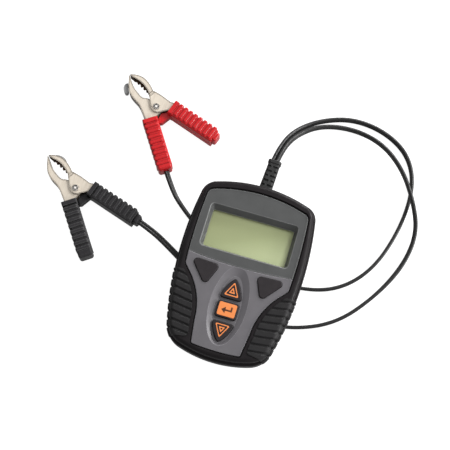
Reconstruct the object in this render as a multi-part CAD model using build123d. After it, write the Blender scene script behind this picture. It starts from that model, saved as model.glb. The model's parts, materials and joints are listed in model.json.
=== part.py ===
from build123d import *
import math
import os

# Handheld 12 V battery tester: a flat two-shell case with a display and five keys, and two leads
# that end in spring clamps, one red and one black.
# Frame: origin at the bottom centre of the case, under the feet. +X to the right of the display,
# +Y towards the end where the leads come out, +Z out of the display. Units are millimetres.

# ---------------------------------------------------------------- driving dimensions: case heights
FOOT_HEIGHT = 6.0
BACK_Z = FOOT_HEIGHT
PARTING_Z = 17.0
SHOULDER_Z = 25.5
ROOF_Z = 27.4
LEDGE_Z = 29.4
FACE_Z = 33.0
RIM_Z = 34.0
WALL = 2.4
EDGE_BREAK = 0.4

# ---------------------------------------------------------------- driving dimensions: case outline
HALF_LENGTH = 69.7
TOP_CORNER = (43.7, 61.1)
BOTTOM_CORNER = (37.3, -61.7)
WIDEST = (48.2, 12.7)
TOP_CORNER_RADIUS = 12.0
BOTTOM_CORNER_RADIUS = 18.0
SHOULDER_INSET = 1.8
RIM_ROUND = 3.4
BACK_INSET = 1.5
BACK_ROUND = 3.0

# ---------------------------------------------------------------- driving dimensions: front panels
PANEL_GAP = 0.1
LEDGE_WIDTH = 2.5
SPLIT_Y = 2.0
SPLIT_RISE = 5.6
SPLIT_HALF_SPAN = 60.0

WINDOW_HALF_WIDTH = 31.6
WINDOW_Y = (12.3, 41.0)
RECESS_HALF_WIDTH = 34.2
RECESS_Y = (10.9, 45.0)
RECESS_RADIUS = 3.0
RECESS_LIP = 0.6
WINDOW_Z = (27.6, 28.6)
WINDOW_LAP = 1.4
GLASS_Z = (25.2, 27.3)
GLASS_HALF_WIDTH = 35.0
GLASS_Y = (9.0, 45.0)

DISH_CENTRE_Y = -27.8
DISH_RADII = (14.0, 30.6)
DISH_FLOOR_CENTRE_Y = -30.5
DISH_FLOOR_RADII = (9.2, 25.9)
DISH_FLOOR_Z = 31.2

# ---------------------------------------------------------------- driving dimensions: keys
KEY_GAP = 0.25
KEY_BOTTOM_Z = 27.2
KEY_FLANGE_Z = (27.8, 29.1)
KEY_FLANGE = 1.2
SIDE_KEY_TOP_Z = 34.0
CENTRE_KEY_TOP_Z = 33.4
KEY_ROUND = 0.6
SWITCH_CENTRES = [(-24.3, -5.5), (24.3, -5.5), (0, -17.0), (0, -31.2), (0, -46.0)]

# ---------------------------------------------------------------- driving dimensions: inner pieces
BOARD_Z = (20.0, 21.6)
BOARD_GAP = 3.4
MEMBRANE_Z = (25.4, 26.2)
CASE_SCREWS = [(39.0, 53.0), (-39.0, 53.0), (32.0, -55.0), (-32.0, -55.0)]
BOARD_SCREWS = [(41.3, 24.0), (-41.3, 24.0), (27.0, -44.0), (-27.0, -44.0)]
FEET = [(31.0, 44.0), (-31.0, 44.0), (25.0, -47.0), (-25.0, -47.0)]
FOOT_RADIUS = 5.0
BOSS_RADIUS = 3.6

# ---------------------------------------------------------------- driving dimensions: strain relief
RELIEF_BASE = (0.7, 66.5)
RELIEF_LEAN = 3.0
RELIEF_LENGTH = 28.0
RELIEF_WIDTH = 10.2
RELIEF_HEIGHT = 7.6
RELIEF_TAPER = 1.0
RELIEF_SLOTS = 5

# ---------------------------------------------------------------- driving dimensions: leads
# Each lead is a twin flex, 2.8 x 4.9. Its solid here is a round tube of the same section area.
LEAD_DIAMETER = 3.8
FLOOR = 2.5
RED_ROUTE = [
    (0.14, 94.1, 17.0), (1.5, 106.0, 16.4), (8.8, 125.4, 9.5), (26.8, 141.8, 4.0),
    (52.0, 151.0, FLOOR), (79.2, 147.3, FLOOR), (101.2, 133.5, FLOOR), (111.5, 109.0, FLOOR),
    (109.4, 73.6, FLOOR), (97.4, 36.2, FLOOR), (75.1, 12.8, FLOOR), (44.4, 4.7, FLOOR),
    (15.0, 9.0, FLOOR), (-14.0, 16.5, FLOOR), (-40.0, 29.0, FLOOR), (-59.5, 43.5, 3.2),
    (-69.4, 53.0, 6.3), (-79.24, 67.72, 7.5),
]
BLACK_ROUTE = [
    (4.04, 93.9, 17.0), (5.6, 105.5, 16.4), (12.4, 122.2, 10.5), (28.6, 137.2, 6.0),
    (54.2, 142.8, FLOOR), (79.0, 136.0, 6.0), (98.5, 118.5, 10.8), (112.9, 96.0, 10.8),
    (122.6, 73.2, 5.5), (119.0, 46.0, FLOOR), (104.0, 16.0, FLOOR), (81.0, -12.0, FLOOR),
    (50.0, -26.0, FLOOR), (20.0, -28.0, FLOOR), (-10.0, -18.0, FLOOR), (-38.0, -3.0, FLOOR),
    (-61.0, 10.5, 3.2), (-75.0, 17.2, 6.3), (-89.34, 21.96, 7.5),
]

# ---------------------------------------------------------------- driving dimensions: clamps
# A clamp is drawn with its rivet at the origin and its tip along +Y, lying on its side.
# Its right half straddles its left half at the rivet.
RED_CLAMP = (-100.7, 113.3, 54.8)
BLACK_CLAMP = (-140.9, 31.4, 56.0)
SHEET = 1.1
MID_Z = 7.5
INNER_HALF_HEIGHT = 4.2
OUTER_HALF_HEIGHT = 5.4
JOGGLE_Y = (10.2, 12.6)
RIVET_RADIUS = 2.0
RIVET_CLEARANCE = 0.05
RIVET_HEAD_RADIUS = 2.4
GRIP_HEIGHT = 15.0
GRIP_WIDTH = 12.3
GRIP_ROUND = 1.3
GRIP_RIBS = 8
COLLAR_LENGTH = 3.4
RIB_GAP = 1.5
RIB_DEPTH = 0.7
RIB_SIDE_DEPTH = 1.2
RIB_ROUND = 0.9
RIGHT_GRIP_START = (9.3, -8.0)
RIGHT_GRIP_TURN = 16.3
RIGHT_GRIP_LENGTH = 41.5
LEFT_GRIP_START = (-9.9, -5.0)
LEFT_GRIP_TURN = -21.1
LEFT_GRIP_LENGTH = 43.0
LEFT_LEAD_GRIP_LENGTH = 41.4
LEFT_GRIP_SHIFT = 0.4
RIGHT_CAP_LENGTH = 2.8
RIGHT_LEAD_CAP_LENGTH = 4.2
LEFT_CAP_LENGTH = 3.9
LEFT_LEAD_CAP_LENGTH = 2.7
LEAD_END_GAP = 0.4
HANDLE_WIDTH = 7.6
HANDLE_LENGTH = 33.0
TEETH = 5

parts = {}


def keep(name, shape):
    """Adds one named sub-part."""
    parts[name] = shape
    return shape


def mirrored(points):
    """The same points on the other side of the centre line, in the opposite order."""
    return [(-x, y) for x, y in reversed(points)]


def prism(face, low, high):
    """A face in the XY plane made into a solid from one height to another."""
    return extrude(Pos(0, 0, low) * face, high - low)


def block(x_range, y_range, z_range):
    """A box between two corners."""
    size = [b - a for a, b in (x_range, y_range, z_range)]
    middle = [(a + b) / 2 for a, b in (x_range, y_range, z_range)]
    return Pos(*middle) * Box(*size)


def upright(x, y, radius, low, high):
    """A round post or hole along Z."""
    return Pos(x, y, (low + high) / 2) * Cylinder(radius, high - low)


def grown(face, amount):
    """A face with its outline moved outwards, or inwards where the amount is negative.

    The outline is made of lines and arcs only, so each moved edge is one of them again."""
    moved = offset(face, amount=amount, kind=Kind.ARC)
    edges = []
    for edge in moved.wire().edges():
        if edge.geom_type == GeomType.LINE:
            edges.append(Line(edge @ 0, edge @ 1))
        else:
            edges.append(ThreePointArc(edge @ 0, edge @ 0.5, edge @ 1))
    return make_face(edges)


def rounded_rectangle(x_range, y_range, radius):
    width, height = x_range[1] - x_range[0], y_range[1] - y_range[0]
    centre = Pos((x_range[0] + x_range[1]) / 2, (y_range[0] + y_range[1]) / 2)
    return centre * RectangleRounded(width, height, radius)


def rounded_polygon(points, radius):
    face = make_face(Polyline(*points, close=True))
    return fillet(face.vertices(), radius)


def highest_edges(solid):
    return solid.faces().sort_by(Axis.Z)[-1].outer_wire().edges()


def lowest_edges(solid):
    return solid.faces().sort_by(Axis.Z)[0].outer_wire().edges()


# ================================================================ case outline and panel outline
def case_outline():
    """Barrel-sided outline: four arcs with rounded corners."""
    top_left, top_right = (-TOP_CORNER[0], TOP_CORNER[1]), TOP_CORNER
    low_left, low_right = (-BOTTOM_CORNER[0], BOTTOM_CORNER[1]), BOTTOM_CORNER
    edges = [
        ThreePointArc(top_left, (0, HALF_LENGTH), top_right),
        ThreePointArc(top_right, WIDEST, low_right),
        ThreePointArc(low_right, (0, -HALF_LENGTH), low_left),
        ThreePointArc(low_left, (-WIDEST[0], WIDEST[1]), top_left),
    ]
    face = make_face(edges)
    by_height = face.vertices().sort_by(Axis.Y)
    face = fillet(by_height[2:], TOP_CORNER_RADIUS)
    return fillet(corners_near(face, [low_left, low_right]), BOTTOM_CORNER_RADIUS)


def corners_near(face, places):
    """The corner of a face closest to each place."""
    return [face.vertices().sort_by_distance((x, y, 0))[0] for x, y in places]


def panel_outline():
    """Shield shape: wide at the display, with a narrow waist between the two hand grips."""
    side = [(39.2, 54.3), (40.7, 22.0), (39.8, -5.4)]
    shoulder = (36.4, -9.4)
    waist = [shoulder, (26.0, -24.0), (21.0, -45.0)]
    foot = (18.6, -62.0)
    mirrored_side = mirrored(side)
    mirrored_waist = mirrored(waist)
    edges = [
        ThreePointArc(mirrored_side[-1], (0, 61.1), side[0]),
        ThreePointArc(*side),
        Line(side[-1], shoulder),
        ThreePointArc(*waist),
        Line(waist[-1], foot),
        ThreePointArc(foot, (0, -63.0), (-foot[0], foot[1])),
        Line((-foot[0], foot[1]), mirrored_waist[0]),
        ThreePointArc(*mirrored_waist),
        Line(mirrored_waist[-1], mirrored_side[0]),
        ThreePointArc(*mirrored_side),
    ]
    face = make_face(edges)
    for radius, place in ((5.0, side[0]), (3.0, side[-1]), (1.5, foot)):
        pair = [place, (-place[0], place[1])]
        face = fillet(corners_near(face, pair), radius)
    return face


def above_split():
    """Everything above the curved line where the display bezel meets the keypad panel."""
    low = (SPLIT_HALF_SPAN, SPLIT_Y + SPLIT_RISE)
    far = 90.0
    edges = [
        ThreePointArc((-low[0], low[1]), (0, SPLIT_Y), low),
        Line(low, (low[0], far)),
        Line((low[0], far), (-low[0], far)),
        Line((-low[0], far), (-low[0], low[1])),
    ]
    return prism(make_face(edges), 0, 2 * RIM_Z)


OUTLINE = case_outline()
PANEL = panel_outline()


def front_body(grow):
    """Outer form of the front cover, moved outwards by grow: a skirt and a rounded rim above it."""
    skirt = prism(grown(OUTLINE, grow) if grow else OUTLINE, PARTING_Z, SHOULDER_Z + grow)
    skirt = fillet(highest_edges(skirt), 1.0)
    rim = prism(grown(OUTLINE, grow - SHOULDER_INSET), PARTING_Z, RIM_Z + grow)
    rim = fillet(highest_edges(rim), RIM_ROUND)
    return skirt + rim


def narrowing(wall, low):
    """The case outline drawn in by a wall, from the parting line down, narrower towards the back."""
    wide = grown(OUTLINE, -wall) if wall else OUTLINE
    narrow = grown(OUTLINE, -wall - BACK_INSET)
    return loft([Pos(0, 0, low) * narrow, Pos(0, 0, PARTING_Z) * wide])


def back_body():
    """Outer form of the rear cover."""
    return fillet(lowest_edges(narrowing(0, BACK_Z)), BACK_ROUND)


# ================================================================ strain relief
def relief_place():
    return Pos(RELIEF_BASE[0], RELIEF_BASE[1], PARTING_Z) * Rot(0, 0, -RELIEF_LEAN)


def relief_neck(width, height, low, high):
    """A rounded bar along the strain relief's own Y axis."""
    section = RectangleRounded(width, height, 2.4)
    bar = extrude(section, high - low)
    return Pos(0, high, 0) * Rot(90, 0, 0) * bar


def strain_relief():
    """Moulded sleeve with an inner flange, bending slots on both faces and an end collar."""
    section = RectangleRounded(RELIEF_WIDTH, RELIEF_HEIGHT, 2.4)
    draft = math.degrees(math.atan(RELIEF_TAPER / 2 / RELIEF_LENGTH))
    sleeve = Rot(-90, 0, 0) * extrude(section, RELIEF_LENGTH, taper=draft)
    flange = relief_neck(RELIEF_WIDTH + 3.0, RELIEF_HEIGHT + 3.0, -2.0, 0.0)
    collar = relief_neck(RELIEF_WIDTH + 0.2, RELIEF_HEIGHT + 0.2, RELIEF_LENGTH - 2.8, RELIEF_LENGTH)
    collar = fillet(collar.edges().filter_by(GeomType.LINE, reverse=True), 0.5)
    body = sleeve + flange + collar
    pitch = 3.9
    first_slot = 6.6
    for i in range(RELIEF_SLOTS):
        y = first_slot + i * pitch
        for side in (-1, 1):
            spine = 0.9 if i % 2 else -0.9
            slot = Pos(0, y, side * RELIEF_HEIGHT / 2) * Box(RELIEF_WIDTH + 2.0, 1.6, 2.8)
            body -= slot - Pos(spine, y, side * RELIEF_HEIGHT / 2) * Box(1.6, 2.0, 1.6)
    return relief_place() * body


# ================================================================ case shells
def screw_bosses(places, radius, low, high):
    return [upright(x, y, radius, low, high) for x, y in places]


def front_cover(cutter, grip_blocks):
    """Rim frame: holds the two panels on a ledge and carries the screw bosses."""
    body = front_body(0)
    body = chamfer(lowest_edges(body), EDGE_BREAK)
    body -= prism(grown(OUTLINE, -WALL), PARTING_Z - 1, ROOF_Z)
    body -= prism(grown(PANEL, -LEDGE_WIDTH), ROOF_Z - 1, LEDGE_Z)
    body -= prism(grown(PANEL, PANEL_GAP), LEDGE_Z, RIM_Z + 2)
    groove = prism(grown(PANEL, 0.9), FACE_Z - 1.1, RIM_Z + 2)
    body -= groove
    inside = prism(grown(OUTLINE, -WALL / 2), PARTING_Z, RIM_Z)
    for boss in screw_bosses(CASE_SCREWS, BOSS_RADIUS, PARTING_Z, ROOF_Z + 0.5):
        body += boss & inside
    for boss in screw_bosses(BOARD_SCREWS, 2.8, BOARD_Z[1], ROOF_Z + 0.5):
        body += boss & inside
    for hole in screw_bosses(CASE_SCREWS, 1.3, PARTING_Z - 1, ROOF_Z - 0.9):
        body -= hole
    for hole in screw_bosses(BOARD_SCREWS, 1.05, BOARD_Z[1] - 1, ROOF_Z - 0.9):
        body -= hole
    for grip_block in grip_blocks:
        body -= grip_block
    return body - cutter


def rear_cover(cutter):
    """Tray with a flat back, screw posts and pockets for the feet."""
    body = back_body()
    body = chamfer(highest_edges(body), EDGE_BREAK)
    body -= narrowing(WALL, BACK_Z + WALL)
    inside = narrowing(WALL / 2, BACK_Z)
    for post in screw_bosses(CASE_SCREWS, BOSS_RADIUS, BACK_Z + 1, PARTING_Z):
        body += post & inside
    for x, y in CASE_SCREWS:
        body -= upright(x, y, 2.9, BACK_Z - 1, 9.5)
        body -= upright(x, y, 1.7, 9.0, PARTING_Z + 1)
    for x, y in FEET:
        body -= upright(x, y, 3.0, BACK_Z - 1, BACK_Z + 1.5)
    return body - cutter


def feet():
    """Four rubber feet, each with a peg pressed into the back."""
    made = []
    for x, y in FEET:
        foot = upright(x, y, FOOT_RADIUS, 0, FOOT_HEIGHT)
        foot = fillet(lowest_edges(foot), 1.0)
        made.append(foot + upright(x, y, 3.0, FOOT_HEIGHT - 0.5, FOOT_HEIGHT + 1.5))
    return Compound(children=made)


# ================================================================ hand grips on the case
def grip_region(side):
    """Plan of one rubber hand grip: from the panel's waist out past the case wall."""
    points = [(39.2, -11.0), (60.0, -9.0), (60.0, -58.0), (36.0, -60.5), (22.0, -58.5), (24.2, -46.0)]
    edges = [
        Line(points[0], points[1]),
        Line(points[1], points[2]),
        Line(points[2], points[3]),
        Line(points[3], points[4]),
        Line(points[4], points[5]),
        ThreePointArc(points[5], (28.6, -26.5), points[0]),
    ]
    face = make_face(edges)
    face = fillet(corners_near(face, [points[3], points[4]]), 3.0)
    region = prism(face, PARTING_Z + 2.0, 2 * RIM_Z)
    return region if side > 0 else mirror(region, Plane.YZ)


def hand_grip(grip_block):
    """Rubber pad that fills its pocket, stands slightly proud and has curved ribs."""
    pad = front_body(0.6) & grip_block
    steps = [(1.1, front_body(0.15)), (0.5, front_body(-0.35))]
    ribs = 8
    rib_pitch = 5.7
    arc_centre_y = 200.0
    for i in range(ribs):
        radius = arc_centre_y + 17.5 + i * rib_pitch
        for half_width, groove_floor in steps:
            ring = Circle(radius + half_width) - Circle(radius - half_width)
            groove = Pos(0, arc_centre_y, 0) * prism(ring, PARTING_Z, 2 * RIM_Z)
            pad -= groove - groove_floor
    return pad


# ================================================================ front panels and keys
def side_key_plan(side):
    corners = [(-37.4, 0.9), (-14.0, -0.2), (-21.3, -18.2)]
    if side > 0:
        corners = [(-x, y) for x, y in corners]
    return rounded_polygon(corners, 2.8)


def arrow_key_plan(tip_y, base_y):
    """Arched triangle with its tip on the centre line."""
    half = 8.3
    bulge_y = tip_y + (base_y - tip_y) * 0.42
    edges = [
        ThreePointArc((0, tip_y), (half * 0.62, bulge_y), (half, base_y)),
        Line((half, base_y), (-half, base_y)),
        ThreePointArc((-half, base_y), (-half * 0.62, bulge_y), (0, tip_y)),
    ]
    return fillet(make_face(edges).vertices(), 1.7)


KEY_PLANS = {
    "key_left": (side_key_plan(-1), SIDE_KEY_TOP_Z),
    "key_right": (side_key_plan(1), SIDE_KEY_TOP_Z),
    "key_up": (arrow_key_plan(-6.4, -22.6), CENTRE_KEY_TOP_Z),
    "key_enter": (rounded_rectangle((-8.0, 8.0), (-37.4, -25.0), 1.8), CENTRE_KEY_TOP_Z),
    "key_down": (arrow_key_plan(-56.0, -40.4), CENTRE_KEY_TOP_Z),
}


def key(plan, top):
    """Key cap with a retaining flange under the panel."""
    cap = prism(plan, KEY_BOTTOM_Z, top)
    cap = fillet(highest_edges(cap), KEY_ROUND)
    return cap + prism(grown(plan, KEY_FLANGE), *KEY_FLANGE_Z)


def key_holes():
    return [prism(grown(plan, KEY_GAP), LEDGE_Z - 3, RIM_Z + 2) for plan, _ in KEY_PLANS.values()]


def display_bezel():
    """Upper panel with a sunk, slope-sided window frame."""
    body = prism(PANEL, LEDGE_Z, FACE_Z) & above_split()
    body = chamfer(highest_edges(body), EDGE_BREAK)
    body += block((-36.6, 36.6), (8.4, 47.4), (WINDOW_Z[0], LEDGE_Z + 0.5))
    opening = rounded_rectangle((-RECESS_HALF_WIDTH, RECESS_HALF_WIDTH), RECESS_Y, RECESS_RADIUS)
    window = rounded_rectangle((-WINDOW_HALF_WIDTH, WINDOW_HALF_WIDTH), WINDOW_Y, 1.0)
    body -= loft([Pos(0, 0, WINDOW_Z[1]) * window, Pos(0, 0, FACE_Z) * opening], ruled=True)
    top_face = body.faces().sort_by(Axis.Z)[-1]
    body = fillet(top_face.inner_wires().edges(), RECESS_LIP)
    body -= window_plate()
    return body


def window_plate():
    """Clear plate glued behind the bezel."""
    half = WINDOW_HALF_WIDTH + WINDOW_LAP
    y_range = (WINDOW_Y[0] - WINDOW_LAP, WINDOW_Y[1] + WINDOW_LAP)
    return block((-half, half), y_range, WINDOW_Z)


def ellipse_at(radii, y, z):
    return Pos(0, y, z) * Ellipse(*radii)


def keypad_panel():
    """Lower panel with an oval dish round the three centre keys."""
    body = prism(PANEL, LEDGE_Z, FACE_Z) - above_split()
    body = chamfer(highest_edges(body), EDGE_BREAK)
    outer = ellipse_at(DISH_RADII, DISH_CENTRE_Y, FACE_Z + 0.01)
    floor = ellipse_at(DISH_FLOOR_RADII, DISH_FLOOR_CENTRE_Y, DISH_FLOOR_Z)
    body -= loft([floor, outer], ruled=True)
    for hole in key_holes():
        body -= hole
    return body


# ================================================================ display and electronics
def lcd_glass():
    return block((-GLASS_HALF_WIDTH, GLASS_HALF_WIDTH), GLASS_Y, GLASS_Z)


def lcd_frame():
    """Black carrier that holds the display glass over its backlight."""
    half = GLASS_HALF_WIDTH + 1.6
    body = block((-half, half), (GLASS_Y[0] - 1.6, GLASS_Y[1] + 1.6), (BOARD_Z[1], GLASS_Z[1]))
    body -= lcd_glass()
    light_y = (GLASS_Y[0] + 1.6, GLASS_Y[1] - 1.6)
    body -= block((-half + 3.2, half - 3.2), light_y, (BOARD_Z[1] - 1, GLASS_Z[0]))
    return body


def backlight():
    half = GLASS_HALF_WIDTH - 1.7
    return block((-half, half), (GLASS_Y[0] + 1.8, GLASS_Y[1] - 1.8), (22.2, GLASS_Z[0]))


def main_board():
    """Circuit board that follows the case, notched for the case screws and the strain relief."""
    board = prism(grown(OUTLINE, -BOARD_GAP), *BOARD_Z)
    for x, y in CASE_SCREWS:
        board -= upright(x, y, BOSS_RADIUS + 0.6, BOARD_Z[0] - 1, BOARD_Z[1] + 1)
    for x, y in BOARD_SCREWS:
        board -= upright(x, y, 1.2, BOARD_Z[0] - 1, BOARD_Z[1] + 1)
    return board - block((-12, 14), (60.0, 80.0), (BOARD_Z[0] - 1, BOARD_Z[1] + 1))


def keypad_membrane():
    """Silicone sheet over the five switches."""
    right = [(34, 3), (30, -14), (13, -20), (11, -56)]
    return prism(rounded_polygon(right + mirrored(right), 2.5), *MEMBRANE_Z)


def tactile_switches():
    made = []
    for x, y in SWITCH_CENTRES:
        housing = block((x - 3, x + 3), (y - 3, y + 3), (BOARD_Z[1], 24.4))
        made.append(housing + upright(x, y, 1.75, 24.0, 25.2))
    return Compound(children=made)


def load_resistors():
    """Two ceramic power resistors that load the battery."""
    made = []
    for y in (26.0, 12.0):
        body = block((-34, -10), (y - 4.5, y + 4.5), (11.6, 19.2))
        body = fillet(body.edges().filter_by(Axis.X), 1.0)
        for x in (-31.0, -13.0):
            body += upright(x, y, 0.5, 19.0, BOARD_Z[0])
        made.append(body)
    return Compound(children=made)


def relay():
    body = block((14, 33), (8, 24), (10.0, BOARD_Z[0]))
    return fillet(body.edges().filter_by(Axis.Z), 0.8)


def capacitors():
    made = []
    for x in (18.0, 30.0):
        can = upright(x, -8.0, 4.0, 10.4, BOARD_Z[0])
        made.append(fillet(lowest_edges(can), 0.7))
    return Compound(children=made)


def beeper():
    body = upright(-18.0, -34.0, 6.0, 11.5, BOARD_Z[0])
    return body - upright(-18.0, -34.0, 1.0, 10.0, 13.0)


def processor_chip():
    body = block((-7, 7), (-14, 0), (18.6, BOARD_Z[0]))
    return chamfer(lowest_edges(body), 0.3)


def driver_chips():
    return Compound(children=[block((x, x + 5), (-30, -26), (18.5, BOARD_Z[0])) for x in (2.0, 11.0)])


def case_screws():
    made = []
    for x, y in CASE_SCREWS:
        head = upright(x, y, 2.7, 7.2, 9.5)
        head -= Pos(x, y, 7.2) * Box(3.2, 0.8, 1.8)
        head -= Pos(x, y, 7.2) * Box(0.8, 3.2, 1.8)
        made.append(head + upright(x, y, 1.3, 9.4, 25.5))
    return Compound(children=made)


def board_screws():
    made = []
    for x, y in BOARD_SCREWS:
        head = upright(x, y, 2.2, 18.5, BOARD_Z[0])
        head -= Pos(x, y, 18.5) * Box(2.6, 0.7, 1.2)
        made.append(head + upright(x, y, 1.05, BOARD_Z[0] - 0.1, 26.0))
    return Compound(children=made)


def inner_wires():
    """Four insulated wires from the strain relief to the board's solder pads."""
    made = []
    for i, x in enumerate((-7.0, -2.5, 2.5, 7.0)):
        start_x = 0.7 + (i - 1.5) * 2.0
        level_run = [(start_x, 64.2, PARTING_Z), (x, 57.0, PARTING_Z), (x, 51.0, PARTING_Z)]
        route = level_run + [(x, 51.0, BOARD_Z[0])]
        path = FilletPolyline(*route, radius=1.5)
        section = Plane(origin=route[0], z_dir=path % 0) * Circle(0.85)
        made.append(sweep(section, path))
    return Compound(children=made)


# ================================================================ leads
def lead(name, route):
    """One free lead: straight runs joined by the largest arcs that they allow."""
    points = [Vector(*p) for p in route]
    runs = [b - a for a, b in zip(points, points[1:])]
    radii = []
    for before, after in zip(runs, runs[1:]):
        half_turn = math.radians(before.get_angle(after)) / 2
        radii.append(0.45 * min(before.length, after.length) / math.tan(half_turn))
    path = FilletPolyline(*points, radius=radii)
    section = Plane(origin=points[0], z_dir=runs[0]) * Circle(LEAD_DIAMETER / 2)
    tube = sweep(section, path)
    expected = math.pi * LEAD_DIAMETER**2 / 4 * path.length
    print(f"{name}: length {path.length:.1f}, volume {tube.volume / expected:.4f} of section x length")
    print("   runs", [round(run.length) for run in runs])
    print("   radii", [round(radius) for radius in radii])
    return tube


# ================================================================ clamps
def along_handle(start, turn):
    """Place of a handle: its own -Y axis runs down the handle from its front end."""
    return Pos(start[0], start[1], 0) * Rot(0, 0, turn)


RIGHT_HANDLE = along_handle(RIGHT_GRIP_START, RIGHT_GRIP_TURN)
LEFT_HANDLE = along_handle(LEFT_GRIP_START, LEFT_GRIP_TURN)


def handle_plan(place):
    half = HANDLE_WIDTH / 2
    return place * rounded_rectangle((-half, half), (-HANDLE_LENGTH, 2.0), 0.8)


def right_jaw_plan():
    """Right half in plan: curved jaw, round hub and the neck that runs into the handle."""
    outer = [(0.9, 34.8), (4.9, 30.7), (7.1, 26.5), (7.8, 21.6), (7.3, 16.2), (6.3, 12.5)]
    inner = [(1.1, 10.8), (3.1, 15.4), (3.6, 20.5), (3.1, 25.5), (1.2, 30.7), (0.25, 34.8)]
    hub = [(5.4, -8.4), (-0.6, -5.5), (-2.9, -4.0), (-4.2, -1.0), (-3.3, 3.0), (-0.7, 7.7), (1.1, 10.8)]
    edges = [
        Spline(*outer),
        Polyline(outer[-1], (9.1, 4.6), (11.1, -3.8), (12.9, -6.6), hub[0]),
        Line(hub[0], hub[1]),
        Spline(*hub[1:]),
        Spline(*inner),
        Line(inner[-1], outer[0]),
    ]
    return make_face(edges)


def left_jaw_plan():
    """Left half in plan. Its hub is a disc under the right half's hub."""
    outer = [
        (-0.9, 34.8), (-5.2, 29.6), (-9.0, 23.6), (-9.9, 17.6),
        (-9.6, 11.3), (-10.9, 5.0), (-13.5, -3.4),
    ]
    inner = [(-1.8, 11.0), (-3.8, 13.4), (-4.2, 17.5), (-4.0, 23.0), (-2.6, 28.3), (-0.25, 34.8)]
    edges = [
        Spline(*outer),
        Polyline(outer[-1], (-5.2, -6.7), (-0.8, -5.9), (3.0, 0.0), (0.3, 8.0), inner[0]),
        Spline(*inner),
        Line(inner[-1], outer[0]),
    ]
    return make_face(edges) + Circle(6.0)


def sheet_pair(plan, half_height):
    """Two parallel cheeks of sheet steel."""
    top = prism(plan, MID_Z + half_height - SHEET, MID_Z + half_height)
    bottom = prism(plan, MID_Z - half_height, MID_Z - half_height + SHEET)
    return top, bottom


def edge_web(plan, side, half_height, handle_place):
    """The bent wall that joins the two cheeks along the outer edge. The handle's end stays open."""
    full = prism(plan, MID_Z - half_height, MID_Z + half_height)
    inside = sorted((-side * 12.0, side * (HANDLE_WIDTH / 2 - SHEET)))
    mouth = block(inside, (-HANDLE_LENGTH - 1, 3.0), (0, 2 * MID_Z))
    return full - Pos(-side * SHEET, 0, 0) * full - handle_place * mouth


def joggled_sheet(side_up):
    """A sheet seen from the side: low at the jaw, raised by one thickness over the hub."""
    low, high = INNER_HALF_HEIGHT, OUTER_HALF_HEIGHT
    far = 60.0
    start, end = JOGGLE_Y
    outer = [(-far, high), (start, high), (end, low), (far, low)]
    low_inside = low - SHEET
    high_inside = high - SHEET
    inner = [(far, low_inside), (end - 0.2, low_inside), (start - 0.2, high_inside), (-far, high_inside)]
    outline = [(y, side_up * z) for y, z in outer + inner]
    face = Plane.YZ * make_face(Polyline(*outline, close=True))
    return Pos(-far, 0, MID_Z) * extrude(face, 2 * far)


def right_half():
    """Outer steel half: two joggled cheeks and the web along the outer edge."""
    plan = right_jaw_plan() + handle_plan(RIGHT_HANDLE)
    column = prism(plan, 0, 2 * MID_Z)
    body = (joggled_sheet(1) & column) + (joggled_sheet(-1) & column)
    web = edge_web(plan, 1, OUTER_HALF_HEIGHT, RIGHT_HANDLE)
    jaw_zone = block((-60, 60), (JOGGLE_Y[0] + 0.4, 60), (0, 2 * MID_Z))
    jaw_limits = block((-60, 60), (-60, 60), (MID_Z - INNER_HALF_HEIGHT, MID_Z + INNER_HALF_HEIGHT))
    body += web - (jaw_zone - jaw_limits)
    return body - upright(0, 0, RIVET_RADIUS + RIVET_CLEARANCE, 0, 2 * MID_Z)


def left_half():
    """Inner steel half: two flat cheeks and the web along the outer edge."""
    plan = left_jaw_plan() + handle_plan(LEFT_HANDLE)
    top, bottom = sheet_pair(plan, INNER_HALF_HEIGHT)
    body = top + bottom + edge_web(plan, -1, INNER_HALF_HEIGHT, LEFT_HANDLE)
    hole = upright(0, 0, RIVET_RADIUS + RIVET_CLEARANCE, 0, 2 * MID_Z)
    return body - hole


def rivet():
    """Rivet with a flat head at each end, each with a ring groove round its middle."""
    top = MID_Z + OUTER_HALF_HEIGHT
    bottom = MID_Z - OUTER_HALF_HEIGHT
    body = upright(0, 0, RIVET_RADIUS, bottom - 0.5, top + 0.5)
    body += upright(0, 0, RIVET_HEAD_RADIUS, top + 0.05, top + 0.6)
    body += upright(0, 0, RIVET_HEAD_RADIUS, bottom - 0.6, bottom - 0.05)
    groove = Circle(2.0) - Circle(1.25)
    return body - prism(groove, top + 0.05, top + 2) - prism(groove, bottom - 2, bottom - 0.05)


def torsion_spring():
    """Coil round the rivet with two short legs between the handles."""
    wire = 1.1
    turns = 4
    coil = None
    for i in range(turns):
        ring = Pos(0, 0, MID_Z + (i - (turns - 1) / 2) * wire) * Torus(3.4, wire / 2 + 0.03)
        coil = ring if coil is None else coil + ring
    for side, reach, turn in ((1, (4.2, -6.6), 0.5), (-1, (-4.6, -5.6), -1.5)):
        size = math.hypot(*reach)
        start = Vector(-side * 3.4 * reach[1] / size, side * 3.4 * reach[0] / size, MID_Z + turn * wire)
        leg = Line(start, start + Vector(*reach) * 0.62)
        coil += sweep(Plane(origin=leg @ 0, z_dir=leg % 0) * Circle(wire / 2 - 0.02), leg)
    return coil


def toothed_contact():
    """Copper strip inside the right jaw, with teeth that stand out past the jaw's edge."""
    tips = [(0.5, 30.3), (1.3, 26.9), (1.8, 23.5), (2.1, 20.2), (2.5, 17.0)]
    points = [(5.2, 28.2), (3.0, 31.4)]
    for x, y in tips:
        points += [(x + 0.2, y + 0.5), (x, y - 0.4), (x + 2.0, y - 1.5)]
    points += [(4.6, 14.6), (5.6, 14.4), (6.4, 18.0), (6.5, 22.0), (6.0, 25.6)]
    strip = make_face(Polyline(*points, close=True))
    return prism(strip, MID_Z - INNER_HALF_HEIGHT + SHEET, MID_Z - 1.2)


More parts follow.
